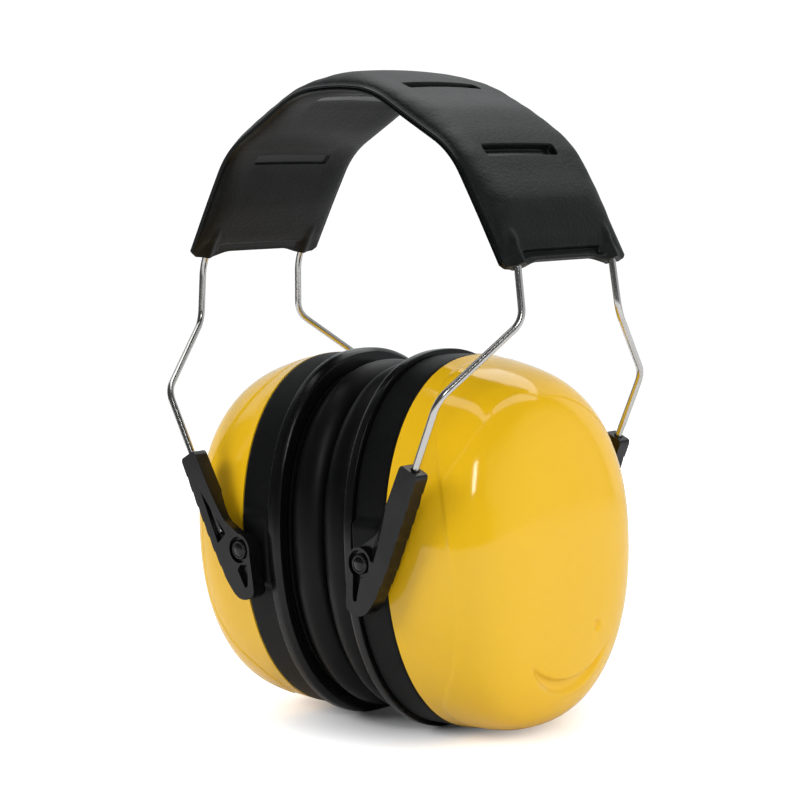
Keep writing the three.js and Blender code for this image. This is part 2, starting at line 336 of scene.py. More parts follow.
def apply_modifiers(piece):
    """Gives a piece the mesh that its modifiers make of it."""
    bpy.context.view_layer.update()
    evaluated = piece.evaluated_get(bpy.context.evaluated_depsgraph_get())
    mesh = bpy.data.meshes.new_from_object(evaluated)
    piece.modifiers.clear()
    piece.data = mesh


def boolean(piece, other, operation="DIFFERENCE"):
    """Cuts another object out of a piece, or joins it on, and removes that object."""
    modifier = piece.modifiers.new("cut", "BOOLEAN")
    modifier.object = other
    modifier.operation = operation
    modifier.solver = "EXACT"
    apply_modifiers(piece)
    bpy.data.objects.remove(other)


# ---- Materials ----

class Shading:
    """A procedural material on one Principled shader, in object coordinates."""

    def __init__(self, name, color, roughness, **settings):
        self.material = bpy.data.materials.new(name)
        self.material.use_nodes = True
        self.nodes = self.material.node_tree.nodes
        self.links = self.material.node_tree.links
        self.shader = self.nodes["Principled BSDF"]
        self.shader.inputs["Base Color"].default_value = (*color, 1)
        self.shader.inputs["Roughness"].default_value = roughness
        for socket, value in settings.items():
            self.shader.inputs[socket.replace("_", " ")].default_value = value
        self.place = self.nodes.new("ShaderNodeTexCoord").outputs["Object"]
        self.last_normal = None

    def noise(self, scale, detail=3):
        node = self.nodes.new("ShaderNodeTexNoise")
        node.inputs["Scale"].default_value = scale
        node.inputs["Detail"].default_value = detail
        self.links.new(self.place, node.inputs["Vector"])
        return node.outputs["Fac"]

    def cells(self, scale, feature="F1"):
        node = self.nodes.new("ShaderNodeTexVoronoi")
        node.feature = feature
        node.inputs["Scale"].default_value = scale
        self.links.new(self.place, node.inputs["Vector"])
        return node.outputs["Distance"]

    def ramp(self, value, low, high, first, last):
        """Goes from first to last while the value goes from low to high."""
        node = self.nodes.new("ShaderNodeMapRange")
        node.inputs["From Min"].default_value = low
        node.inputs["From Max"].default_value = high
        node.inputs["To Min"].default_value = first
        node.inputs["To Max"].default_value = last
        self.links.new(value, node.inputs["Value"])
        return node.outputs["Result"]

    def multiplied(self, value, other):
        node = self.nodes.new("ShaderNodeMath")
        node.operation = "MULTIPLY"
        self.links.new(value, node.inputs[0])
        self.links.new(other, node.inputs[1])
        return node.outputs["Value"]

    def vary_roughness(self, value, first, last, low=0.35, high=0.65):
        self.links.new(self.ramp(value, low, high, first, last), self.shader.inputs["Roughness"])

    def vary_color(self, value, first, last, low=0.35, high=0.65):
        node = self.nodes.new("ShaderNodeMix")
        node.data_type = "RGBA"
        node.inputs["A"].default_value = (*first, 1)
        node.inputs["B"].default_value = (*last, 1)
        self.links.new(self.ramp(value, low, high, 0, 1), node.inputs["Factor"])
        self.links.new(node.outputs["Result"], self.shader.inputs["Base Color"])

    def bump(self, height, distance, strength):
        """Adds a bump to those before it, at a distance in millimetres."""
        node = self.nodes.new("ShaderNodeBump")
        node.inputs["Distance"].default_value = distance * MM
        node.inputs["Strength"].default_value = strength
        self.links.new(height, node.inputs["Height"])
        if self.last_normal:
            self.links.new(self.last_normal, node.inputs["Normal"])
        self.last_normal = node.outputs["Normal"]
        self.links.new(self.last_normal, self.shader.inputs["Normal"])


def yellow_plastic():
    look = Shading("yellow_plastic", (0.9, 0.52, 0.018), 0.1)
    look.vary_color(look.noise(14, 2), (0.9, 0.52, 0.010), (0.9, 0.535, 0.013))
    look.vary_roughness(look.noise(60, 4), 0.07, 0.12)
    look.bump(look.noise(70, 1), 0.04, 0.15)
    return look.material


def matte_plastic():
    look = Shading("matte_plastic", (0.003, 0.003, 0.003), 0.5, Specular_IOR_Level=0.16)
    look.vary_color(look.noise(700, 2), (0.0026, 0.0028, 0.0028), (0.0042, 0.0044, 0.0044))
    look.vary_roughness(look.noise(25, 3), 0.46, 0.55)
    look.bump(look.noise(2600, 2), 0.06, 0.5)
    return look.material


def gloss_plastic():
    look = Shading("gloss_plastic", (0.003, 0.003, 0.0032), 0.2, Specular_IOR_Level=0.35)
    look.vary_color(look.noise(40, 2), (0.0026, 0.0026, 0.0028), (0.004, 0.004, 0.0042))
    look.vary_roughness(look.noise(70, 4), 0.2, 0.3)
    look.bump(look.noise(160, 2), 0.04, 0.2)
    return look.material


def cushion_vinyl():
    look = Shading("cushion_vinyl", (0.003, 0.003, 0.003), 0.4, Specular_IOR_Level=0.2)
    look.vary_color(look.noise(60, 2), (0.0026, 0.0026, 0.0028), (0.0038, 0.0038, 0.004))
    look.vary_roughness(look.noise(45, 4), 0.36, 0.44)
    look.bump(look.noise(900, 3), 0.04, 0.25)
    return look.material


# The name of the pad's mark for places that are pressed flat, where the grain fades and the gloss grows.
PRESSED = "pressed"


def leatherette():
    look = Shading("leatherette", (0.004, 0.0044, 0.0044), 0.5, Specular_IOR_Level=0.19)
    mark = look.nodes.new("ShaderNodeAttribute")
    mark.attribute_name = PRESSED
    soft = look.ramp(mark.outputs["Fac"], 0, 1, 1, 0.1)
    look.vary_color(look.noise(120, 3), (0.0032, 0.0038, 0.0036), (0.0052, 0.0061, 0.0058))
    look.vary_roughness(mark.outputs["Fac"], 0.5, 0.2, 0, 1)
    grain = look.multiplied(look.cells(1050, "SMOOTH_F1"), soft)
    ripple = look.multiplied(look.noise(130, 2), soft)
    look.bump(ripple, 0.2, 0.2)
    look.bump(grain, 0.13, 0.7)
    return look.material


def charcoal_foam():
    look = Shading("charcoal_foam", (0.05, 0.05, 0.055), 0.95)
    cells = look.cells(1300)
    # Painted shade: the foam is darker in the pits of its cells, the same pits the bump sinks, as if shade
    # fell into the pores.
    look.vary_color(cells, (0.015, 0.015, 0.017), (0.075, 0.076, 0.08), 0.05, 0.5)
    look.bump(cells, 0.5, 0.8)
    return look.material


def spring_steel():
    look = Shading("spring_steel", (0.6, 0.59, 0.57), 0.2, Metallic=1.0)
    look.vary_color(look.noise(30, 2), (0.56, 0.55, 0.53), (0.64, 0.63, 0.61))
    look.vary_roughness(look.noise(80, 3), 0.17, 0.24)
    return look.material


LOOKS = {
    "yellow_shell": yellow_plastic(),
    "matte_black": matte_plastic(),
    "gloss_black": gloss_plastic(),
    "cushion_vinyl": cushion_vinyl(),
    "leatherette": leatherette(),
    "grey_foam": charcoal_foam(),
    "spring_wire": spring_steel(),
}


# ---- Cup pieces ----

def dome_radius(part, outer, power):
    """The half height of a dome at a part of its depth."""
    return outer * np.clip(1 - part ** power, 0, 1) ** (1 / power)


def dome_parts(last, count):
    """Parts of a dome's depth, closer together towards its apex."""
    return np.sin(np.linspace(0, last, count) * math.pi / 2) ** 0.8


def inner_dome_line(part, inset):
    """Half heights and depths of the inner dome's outside, set in by an inset."""
    radius = dome_radius(part, INNER_DOME["outer"] - inset, INNER_DOME["power"])
    return np.stack([radius, INNER_DOME["start"] + (INNER_DOME["depth"] - inset) * part], axis=1)


def shell_taper(depth):
    return 1 - SHELL["crown"] * np.maximum(0, (depth - SHELL["front"]) / SHELL["depth"])


def curve_through(value, knots):
    """A smooth curve through (place, value) knots, eased between them by Catmull-Rom slopes."""
    xs = np.array([knot[0] for knot in knots], float)
    ys = np.array([knot[1] for knot in knots], float)
    slopes = np.gradient(ys, xs)
    i = np.clip(np.searchsorted(xs, value) - 1, 0, len(xs) - 2)
    width = xs[i + 1] - xs[i]
    t = np.clip((value - xs[i]) / width, 0, 1)
    return (
        (2 * t**3 - 3 * t**2 + 1) * ys[i]
        + (t**3 - 2 * t**2 + t) * width * slopes[i]
        + (3 * t**2 - 2 * t**3) * ys[i + 1]
        + (t**3 - t**2) * width * slopes[i + 1]
    )


def step_depth(angle):
    """Depth of the shell's step at angles round the cup."""
    above = np.degrees(np.arcsin(np.clip(np.sin(angle), -1, 1)))
    return curve_through(above, STEP_LINE)


def inside_arc(y, z, bottom):
    """Distance inside the circle through the recess's tips and its lowest point, negative outside."""
    sag = RECESS["tip"][1] - bottom
    radius = (RECESS["tip"][0] ** 2 + sag**2) / (2 * sag)
    return radius - np.hypot(y, z - bottom - radius)


def recess_dip(y, z):
    below_upper = smooth(-inside_arc(y, z, RECESS["upper"]), 0, RECESS["upper_ease"])
    above_lower = smooth(inside_arc(y, z, RECESS["lower"]), 0, RECESS["lower_ease"])
    return RECESS["depth"] * below_upper * above_lower


def mark_dip(y, z):
    from_middle = np.hypot(y - MARK["middle"][0], z - MARK["middle"][1])
    dip = MARK["dip"] * (1 - smooth(from_middle, *MARK["dip_fade"]))
    dot = MARK["dot"] * (1 - smooth(from_middle, *MARK["dot_fade"]))
    return dip - dot


def surface_normals(rings):
    """Outward directions at the points of rings that run from the mouth to the face."""
    along = np.gradient(rings, axis=0)
    around = np.roll(rings, -1, axis=1) - np.roll(rings, 1, axis=1)
    normal = np.cross(around, along)
    return normal / np.maximum(np.linalg.norm(normal, axis=2, keepdims=True), 1e-9)


def shell_side(inset):
    """Half heights, depths and distances along the shell's side, from its mouth to its apex."""
    part = dome_parts(1, 2000)
    outer = SHELL["outer"] - inset
    radius = (1 - SHELL["draft"] * part) * dome_radius(part, outer, SHELL["power"])
    rise = SHELL["rise"] * (1 - (radius / outer) ** 2)
    depth = SHELL["front"] + (SHELL["depth"] - SHELL["rise"] - inset) * part + rise
    return radius, depth, line_lengths(np.stack([radius, depth], axis=1))


def shell_rings(side, places):
    """Rings at the given distances along the shell's side."""
    radius, depth, along = side
    return oval_rings(
        np.interp(places, along, radius), np.interp(places, along, depth), SHELL["segments"], shell_taper
    )


def shell_drop(rings, past_step):
    """How far the shell's surface is set in at its skirt, the thumb recess and the moulding mark."""
    y, z = rings[..., 1], rings[..., 2] - CUP_HEIGHT
    skirt = STEP["height"] * (1 - smooth(past_step, 0, STEP["width"]))
    on_face = smooth(rings[..., 0], *FACE_FADE)
    return skirt + on_face * (recess_dip(y, z) + mark_dip(y, z))


def outer_shell(name):
    side = shell_side(0)
    depth, along = side[1:]
    line = np.interp(step_depth(full_turn(SHELL["segments"])), depth, along)[None, :]
    skirt = np.linspace(0, 1, 30)[:, None] * line
    step = line + STEP["width"] * np.linspace(0.2, 1, 5)[:, None]
    dome = step[-1] + np.linspace(0, 1, 130)[1:-1, None] * (along[-1] - step[-1])
    places = np.vstack([skirt, step, dome])
    outside = shell_rings(side, places)
    drop = shell_drop(outside, places - line)
    outside = outside - surface_normals(outside) * drop[..., None]
    inner_side = shell_side(SHELL["wall"])
    inner_depth, inner_along = inner_side[1:]
    inside = shell_rings(inner_side, np.linspace(0, inner_along[-1], 16)[:-1])
    front, outer = SHELL["front"], SHELL["outer"] - STEP["height"]
    mouth = oval_rings([outer - 0.5, outer - 0.12], [front, front + 0.1], SHELL["segments"])
    rings = np.concatenate([inside[::-1], mouth, outside[1:]])
    tips = {"start": (inner_depth[-1], 0, CUP_HEIGHT), "end": (depth[-1], 0, CUP_HEIGHT)}
    return new_object(name, *skin_rings(rings, **tips), LOOKS["yellow_shell"], 60)


def lug_lift(points):
    """Raises the band's sides to a flat lug round the pivot."""
    half = LUG["height"] / 2
    middle = PIVOT_PLACE[1]
    window = smooth(half - np.abs(points[:, 2] - middle), -0.8, 0.8)
    window = window * smooth(points[:, 0], BAND["front"] - 0.1, BAND["front"] + 0.5)
    window = window * (1 - smooth(points[:, 0], BAND["back"] - 1.6, BAND["back"] - 0.6))
    outside = np.hypot(points[:, 1] / WIDTH_RATIO, points[:, 2] - CUP_HEIGHT) > BAND["outer"] - 4
    lifted = np.sign(points[:, 1]) * np.maximum(np.abs(points[:, 1]), LUG["face"])
    moved = points.copy()
    moved[:, 1] += (lifted - points[:, 1]) * window * outside
    return moved


def inner_cup(name):
    """The black band with its lugs, and the closed dome behind it."""
    start, wall = INNER_DOME["start"], INNER_DOME["wall"]
    apex = start + INNER_DOME["depth"]
    part = dome_parts(0.98, 16)
    band, front, back = BAND["outer"], BAND["front"], BAND["back"]
    inner_edge = band - BAND["wall"] - 2
    spigot = SHELL["outer"] - SHELL["wall"] - 3 * GAP
    middle = [
        (inner_edge, start - 2), (inner_edge, front), (band - 0.5, front), (band, front + 0.5),
        *[(band, at) for at in np.linspace(front + 1.2, back - 1, 14)],
        (band - 0.05, back - 0.4), (band - 0.4, back), (spigot, back), (spigot, start),
    ]
    profile = np.vstack([inner_dome_line(part, wall)[::-1], middle, inner_dome_line(part, 0)])
    rings = oval_rings(profile[:, 0], profile[:, 1])
    tips = {"start": (apex - wall, 0, CUP_HEIGHT), "end": (apex, 0, CUP_HEIGHT)}
    piece = new_object(name, *skin_rings(rings, **tips), LOOKS["matte_black"])
    set_points(piece, lug_lift)
    return piece


def flat_foot(points):
    """Lifts what would lie below the floor up to it."""
    moved = points.copy()
    moved[:, 2] = np.maximum(points[:, 2], 0)
    return moved


def rim_ring(name):
    front, lip, back, outer, edge, hole = RIM.values()
    profile = [(hole, front), (edge, front), (outer, lip), (outer, back), (hole, back)]
    piece = oval_piece(name, filleted(profile, [0.4, 0.6, 0.9, 0.5, 0.4]), LOOKS["gloss_black"])
    set_points(piece, flat_foot)
    return piece


def cushion_plate(name):
    """The flat ring behind the cushion, with a collar that clips into the rim."""
    front, flange, back, clip, outer = PLATE.values()
    inner = CUSHION["hole"] + CUSHION["roll_up"] - 6
    profile = [
        (inner, front), (flange, front), (flange, back), (outer, back), (outer, clip - 1.2),
        (outer - 0.8, clip), (outer - 2, clip), (outer - 2, back + 0.4), (inner, back + 0.4),
    ]
    return oval_piece(name, filleted(profile, 0.3, 2), LOOKS["matte_black"], segments=200)


def cushion(name):
    """The cushion's skin: a soft roll round the ear opening, welded to the plate behind."""
    front, outer, hole = CUSHION["front"], CUSHION["outer"], CUSHION["hole"]
    up, deep = CUSHION["roll_up"], CUSHION["roll_deep"]
    weld = PLATE["front"] - 0.2
    angle = np.linspace(-1.15, math.pi / 2, 26)
    roll = np.stack([up * np.cos(angle), front + deep - deep * np.sin(angle)], axis=1)
    roll[:, 1] = np.minimum(roll[:, 1], weld)
    edge = np.stack([outer - up + roll[:, 0], roll[:, 1]], axis=1)
    inner = np.stack([hole + up - roll[:, 0], roll[:, 1]], axis=1)[::-1]
    flat = np.stack([np.linspace(outer - up, hole + up, 6)[1:-1], np.full(4, front)], axis=1)
    profile = np.vstack([edge, flat, inner])
    piece = oval_piece(name, profile, LOOKS["cushion_vinyl"], segments=300, sharp=50)
    set_points(piece, soften_cushion)
    return piece


def soften_cushion(points):
    """Slow, shallow unevenness, as in a stuffed vinyl ring."""
    angle = np.arctan2(points[:, 2] - CUP_HEIGHT, points[:, 1])
    swell = 0.16 * np.sin(3 * angle + 0.7) + 0.1 * np.sin(7 * angle + 2.1) + 0.05 * np.sin(17 * angle)
    side = smooth(np.hypot(points[:, 1] / WIDTH_RATIO, points[:, 2] - CUP_HEIGHT), 44, 50)
    free = 1 - smooth(points[:, 0], 9, 12)
    moved = points.copy()
    scale = 1 - 0.01 * (0.3 - swell) * side * free
    moved[:, 1] *= scale
    moved[:, 2] = CUP_HEIGHT + (points[:, 2] - CUP_HEIGHT) * scale
    return moved


def absorber(name):
    """The foam puck inside the cup, with a rounded edge and a slightly sunk middle."""
    front, outer, gap, sunk = ABSORBER.values()
    inset = INNER_DOME["wall"] + gap
    apex = INNER_DOME["start"] + INNER_DOME["depth"] - inset
    back = inner_dome_line(np.linspace(0.36, 0.985, 14), inset)
    radius = np.linspace(2, outer, 30)
    hollow = sunk * (1 - (radius / outer) ** 4)
    face = np.stack([radius, front + hollow + 1.2 * smooth(radius, outer - 3, outer + 0.5)], axis=1)
    profile = np.vstack([face, back])
    rings = oval_rings(profile[:, 0], profile[:, 1], 160)
    tips = {"start": (front + sunk, 0, CUP_HEIGHT), "end": (apex, 0, CUP_HEIGHT)}
    return new_object(name, *skin_rings(rings, **tips), LOOKS["grey_foam"], 60)


# ---- Arms and pins ----

def arm_point(s, t):
    """A place on an arm as X and Z."""
    bend = WIRE["lower_bend"]
    return np.array(
        [
            bend[0] + LEG[0] * (LEG_SHOWN + s) + LEG[1] * t,
            bend[2] + LEG[1] * (LEG_SHOWN + s) - LEG[0] * t,
        ]
    )


PIVOT_PLACE = arm_point(*PIVOT)
ARM_FRONT = -(WIRE["lower_bend"][1] + ARM_THICKNESS / 2)


def prism(name, outline, near, far, far_outline=None):
    """A plate with its outline on the arm, from near to far behind the arm's smooth face.

    far_outline is the outline of its far side, where that differs.
    """
    front = [(*arm_point(s, t), near) for s, t in outline]
    back = [(*arm_point(s, t), far) for s, t in (far_outline or outline)]
    points = np.array([(x, ARM_FRONT + behind, z) for x, z, behind in front + back])
    count = len(outline)
    faces = [tuple(range(count)), tuple(range(2 * count - 1, count - 1, -1))]
    for i in range(count):
        j = (i + 1) % count
        faces.append((i, i + count, j + count, j))
    return new_object(name, points, facing_out(points, faces), LOOKS["gloss_black"])


def arc(middle, radius, angles):
    return [(middle[0] + radius * math.cos(a), middle[1] + radius * math.sin(a)) for a in angles]


def circle(middle, radius, steps=40):
    return arc(middle, radius, full_turn(steps))


def softened(outline, radius):
    """An outline with its corners rounded."""
    return filleted(outline, radius, 2).tolist()


def cut_front(piece, outline, depth, floor=None, above=OVERCUT):
    """Cuts into the arm's smooth face. floor is the outline at the bottom, where that differs."""
    boolean(piece, prism("cut", outline, -above, depth, floor))


def cut_back(piece, outline, depth):
    boolean(piece, prism("cut", outline, ARM_THICKNESS - depth, ARM_THICKNESS + OVERCUT))


def arm_body(name):
    """The arm's plate: a bar that widens to a round boss at the pivot, with a rounded lower end."""
    boss = arc(PIVOT, BOSS, np.linspace(0.3 * math.pi, 0.82 * math.pi, 12))
    outline = [
        *ARM_EDGE, (51.2, 0.6), (52.3, 3.6), (52.1, 6.4), (51, 7.6),
        *boss, (26, 6.2), (19, 5), (12, 4.4), (1.2, 4.1), (0, 3.6),
    ]
    return prism(name, softened(outline, 1.6), 0, ARM_THICKNESS)


def cut_smooth_face(piece):
    """The sloped facet, the pivot's boss and seat, and the drop-shaped hollow with its hole."""
    facet = [(14, 3.4), (31.5, 0.9), (33, 0.7), (34.5, 14), (14, 14)]
    facet_floor = [(17, 6), (31.5, 5.6), (33, 5.4), (34.5, 14), (17, 14)]
    cut_front(piece, facet, CUT_DEPTH["facet"], facet_floor)
    boolean(piece, prism("boss", circle(PIVOT, BOSS - 0.1), 0.1, 2), "UNION")
    cut_front(piece, circle(PIVOT, PIN_SEAT["radius"]), PIN_SEAT["depth"])
    drop = [(38.5, 9.5), (38.8, 5.2), (47.9, 3.9), (48.6, 4.8), (48, 5.8)]
    drop_floor = [(40, 9), (40, 6.4), (46.2, 4.6), (46.8, 4.9), (46.4, 5.4)]
    cut_front(piece, softened(drop, 0.6), CUT_DEPTH["hollow"], softened(drop_floor, 0.3), above=0.3)
    cut_front(piece, circle((47.2, 4.9), 0.9, 16), CUT_DEPTH["hole"])


def cut_slotted_face(piece):
    """The slot that shows the wire, the seat of the pivot and the hollow below it."""
    slot = [(12.8, 0.2), (31, -0.6), (29.6, 4.6)]
    hollow = [(41, 6), (42, 3.9), (48.6, 4.3), (48.4, 5.8), (42.4, 9.4)]
    cut_back(piece, softened(slot, 0.5), CUT_DEPTH["slot"])
    cut_back(piece, circle(PIVOT, PIN_SEAT["radius"]), PIN_SEAT["depth"])
    cut_back(piece, softened(hollow, 0.5), CUT_DEPTH["hollow"])


def cut_notches(piece):
    """Grip notches along the outer edge, each deeper at its upper end."""
    for i in range(NOTCH["count"]):
        start = NOTCH["first"] + NOTCH["pitch"] * i
        end = start + NOTCH["length"]
        start_edge, end_edge = np.interp([start, end], *np.transpose(ARM_EDGE))
        floor = [(end, end_edge - NOTCH["shallow"]), (start, start_edge + NOTCH["deep"])]
        cut_front(piece, [(start, -6), (end, -6), *floor], ARM_THICKNESS + OVERCUT)


def bore():
    """The hole down the arm that the wire slides in."""
    ends = [arm_point(-OVERCUT, 0), arm_point(BORE["depth"], 0)]
    middle_y = -WIRE["lower_bend"][1]
    angle = full_turn(20)
    out = BORE["radius"] * np.cos(angle)
    rings = np.zeros((2, len(angle), 3))
    for ring, (x, z) in zip(rings, ends):
        ring[:, 0] = x - LEG[1] * out
        ring[:, 1] = middle_y + BORE["radius"] * np.sin(angle)
        ring[:, 2] = z + LEG[0] * out
    tips = [(x, middle_y, z) for x, z in ends]
    return new_object("bore", *skin_rings(rings, start=tips[0], end=tips[1]), LOOKS["gloss_black"])


def soften_edges(piece):
    """Bevels a piece's edges and keeps its flat faces looking flat."""
    bevel = piece.modifiers.new("bevel", "BEVEL")
    bevel.width = BEVEL * MM
    bevel.segments = 2
    bevel.angle_limit = math.radians(38)
    bevel.use_clamp_overlap = True
    apply_modifiers(piece)
    piece.data.shade_smooth()
    piece.data.set_sharp_from_angle(angle=math.radians(30))
    piece.modifiers.new("flat faces", "WEIGHTED_NORMAL").keep_sharp = True
    apply_modifiers(piece)


def arm(name):
    """One moulded arm with its smooth face at -Y and its slotted face behind."""
    piece = arm_body(name)
    cut_smooth_face(piece)
    cut_slotted_face(piece)
    cut_front(piece, circle(PIVOT, PIN_SHAFT + GAP), ARM_THICKNESS + OVERCUT)
    boolean(piece, bore())
    cut_notches(piece)
    soften_edges(piece)
    return piece


def pivot_pin(name):
    """A headed pin: a rounded head with a sunk ring, and the shaft into the cup."""
    x, z = PIVOT_PLACE
    face = PIN_LOW.y
    profile = [
        (0.01, 0.05), (2.0, 0.05), (2.2, 0.2), (2.4, 0.05), (2.8, 0.1), (3.1, 0.35), (3.2, 0.7),
        (3.2, 1.05), (PIN_SHAFT, 1.1), (PIN_SHAFT, PIN_HIGH.y - face),
    ]
    radius, behind = np.transpose(profile)[..., None]
    angle = full_turn(48)
    rings = np.zeros((len(profile), len(angle), 3))
    rings[..., 0] = x + radius * np.cos(angle)
    rings[..., 1] = face + behind
    rings[..., 2] = z + radius * np.sin(angle)
    tips = {"start": (x, face + profile[0][1], z), "end": (x, PIN_HIGH.y, z)}
    return new_object(name, *skin_rings(rings, **tips), LOOKS["gloss_black"], 50)


# ---- Headband ----

def wire_path(side_y):
    """One spring wire from the left arm to the right arm."""
    bends = [WIRE["pad_end"], WIRE["upper_bend"], WIRE["lower_bend"]]
    leg_end = np.array(WIRE["lower_bend"]) + WIRE["leg"] * np.array([LEG[0], 0, LEG[1]])
    in_pad = [(x, WIRE["pad_end"][1], z) for x, z in PAD_LINE[1:-1]]
    right = [*bends, leg_end]
    left = [np.array(place) * [-1, 1, 1] for place in right[::-1]]
    radii = [0, *[WIRE["bend_radius"]] * 3, *[PAD["bend"]] * len(in_pad), *[WIRE["bend_radius"]] * 3, 0]
    corners = [*left, *in_pad, *right]
    rounded = filleted(corners, radii, WIRE["bend_steps"], closed=False) * [1, side_y, 1]
    return along_line(rounded, np.linspace(0, line_lengths(rounded)[-1], WIRE["rings"]))


def wire(name, side_y):
    """A spring wire: circles along its path that stand square to it."""
    path = wire_path(side_y)
    tangent = np.gradient(path, axis=0)
    tangent /= np.linalg.norm(tangent, axis=1, keepdims=True)
    away = path * [1, 0, 1] - [0, 0, 100]
    away -= tangent * np.sum(away * tangent, axis=1, keepdims=True)
    away /= np.linalg.norm(away, axis=1, keepdims=True)
    side = np.cross(tangent, away)
    angle = full_turn(WIRE["sides"])[None, :, None]
    out = side[:, None, :] * np.cos(angle) + away[:, None, :] * np.sin(angle)
    rings = path[:, None, :] + WIRE["radius"] * out
    return new_object(name, *skin_rings(rings, start=path[0], end=path[-1]), LOOKS["spring_wire"], 60)


def pad(name):
    """The padded cover: two sheets welded at their edges over foam, with pressed slots."""
    middle_line = filleted(PAD_LINE, PAD["bend"], 12, closed=False)
    reach = line_lengths(middle_line)[-1] / 2
    u = dense_places(reach, 230, [at for at, _, _ in SLOTS], 2.1)
    v = dense_places(PAD["half_width"], 90, [0], 17)
    line = slid(along_line(middle_line, u + reach))
    tangent = np.gradient(line, u, axis=0)
    tangent /= np.linalg.norm(tangent, axis=1, keepdims=True)
    normal = np.stack([-tangent[:, 1], tangent[:, 0]], axis=1)
    uu, vv = np.meshgrid(u, v, indexing="ij")
    top, bottom = pad_heights(uu, vv, reach)
    bead = pad_bead(top[:, -1], bottom[:, -1])
    other_bead = pad_bead(top[:, 0], bottom[:, 0])[:, ::-1] * [-1, 1]
    heights = np.concatenate([top, bead[..., 1], bottom[:, ::-1], other_bead[..., 1]], axis=1)
    places = np.concatenate([vv, bead[..., 0], vv[:, ::-1], other_bead[..., 0]], axis=1)
    inset = end_inset(u[:, None], places, reach)
    rings = np.zeros((*heights.shape, 3))
    rings[..., 0] = line[:, None, 0] + tangent[:, None, 0] * inset + normal[:, None, 0] * heights
    rings[..., 1] = places
    rings[..., 2] = line[:, None, 1] + tangent[:, None, 1] * inset + normal[:, None, 1] * heights
    points, faces = skin_rings(rings)
    for ring, turn in ((0, 1), (len(u) - 1, -1)):
        faces += [face[::turn] for face in pad_end_faces(ring * rings.shape[1], len(v), bead.shape[1])]
    piece = new_object(name, points, faces, LOOKS["leatherette"], 75)
    mark = piece.data.attributes.new(PRESSED, "FLOAT", "POINT")
    mark.data.foreach_set("value", pressed(u[:, None], places).ravel())
    return piece


def slid(line):
    """The pad's line moved a little way along the wires, towards the right end."""
    middle = np.array(PAD_SLIDE["middle"])
    sine, cosine = math.sin(PAD_SLIDE["turn"]), math.cos(PAD_SLIDE["turn"])
    x, z = (line - middle).T
    return middle + np.stack([x * cosine + z * sine, z * cosine - x * sine], axis=1)


def dense_places(half, count, middles, edge):
    """Places from -half to half, closer together at distance edge on both sides of each middle."""
    fine = np.linspace(-0.9, 0.9, 10)
    places = [np.linspace(-half, half, count)]
    for middle in middles:
        places += [middle + edge + fine, middle - edge + fine]
    joined = np.unique(np.concatenate(places).round(2))
    return joined[(joined >= -half) & (joined <= half)]


def pad_bead(top, bottom):
    """The two sheets' cut edges, as places across the pad and heights, from the upper one down."""
    half = PAD["half_width"]
    middle = (top + bottom) / 2
    rows = [
        (half + 0.3, top - 0.25), (half + 0.25, middle + 0.3), (half - 0.5, middle + 0.08),
        (half - 0.5, middle - 0.08), (half + 0.25, middle - 0.3), (half + 0.3, bottom + 0.25),
    ]
    return np.stack([np.stack([np.full_like(top, place), height], axis=1) for place, height in rows], axis=1)


def pad_end_faces(first, across, bead):
    """Faces that close one end of the pad, from the number of its first point."""
    low = first + across + bead
    faces = []
    for j in range(across - 1):
        faces.append((first + j, first + j + 1, low + across - 2 - j, low + across - 1 - j))
    faces.append(tuple(range(first + across - 1, low + 1)))
    faces.append((*range(low + across - 1, low + across + bead), first))
    return faces


def end_inset(u, v, reach):
    """Moves the pad's end rows inwards between the wires, so that each end is gently concave."""
    hollow = PAD["end_curve"] * (1 - smooth(np.abs(v), 12, 20))
    corner = PAD["end_curve"] * smooth(np.abs(v), 26, 29) ** 2
    return -np.sign(u) * (hollow + corner) * smooth(np.abs(u), reach - 7, reach)


def slot_distance(u, v, slot):
    """Distance outside a slot's rounded rectangle, negative inside."""
    at, half_wide, half_long = slot
    rounding = 1.0
    out_u = np.abs(u - at) - half_wide + rounding
    out_v = np.abs(v) - half_long + rounding
    outside = np.hypot(np.maximum(out_u, 0), np.maximum(out_v, 0))
    return outside + np.minimum(np.maximum(out_u, out_v), 0) - rounding


def pressed(u, v):
    """1 on the floors of the slots and on the welded edges, and 0 elsewhere."""
    weld = PAD["half_width"] - PAD["weld"]
    mark = smooth(np.abs(v), weld, weld + 0.5) + 0 * u
    for slot in SLOTS:
        mark = np.maximum(mark, 1 - smooth(slot_distance(u, v, slot), -0.5, 0))
    return mark


def pad_pillow(v):
    """0 at the welds, rising in a round shoulder to 1."""
    share = np.clip((PAD["half_width"] - PAD["weld"] - np.abs(v)) / PAD["shoulder"], 0, 1)
    return np.sqrt(1 - (1 - share) ** 2)


def pad_puff(u, v, reach):
    """How far the foam swells the upper sheet: less round the slots, and at the ends over the wires only."""
    from_end = reach - np.abs(u)
    near_slot = np.min([slot_distance(u, v, slot) for slot in SLOTS], axis=0)
    swell = smooth(near_slot, -1, 17)
    tube = np.exp(-(((np.abs(v) - WIRE["pad_end"][1]) / 3.1) ** 2))
    ends = np.maximum(smooth(from_end, 2.5, 9), 0.9 * tube)
    over_wire = 0.78 * tube * (1 - smooth(from_end, 9, 26))
    return PAD["puff"] * pad_pillow(v) * ends * np.maximum(0.38 + 0.62 * swell, over_wire)


def pad_wrinkle(u, v):
    """Fine wrinkles across the pad beside its welds."""
    waves = np.sin(u * 0.9 + 0.5 * np.sin(v * 0.3))
    return 0.07 * waves * smooth(np.abs(v), 17, 26) * pad_pillow(v)


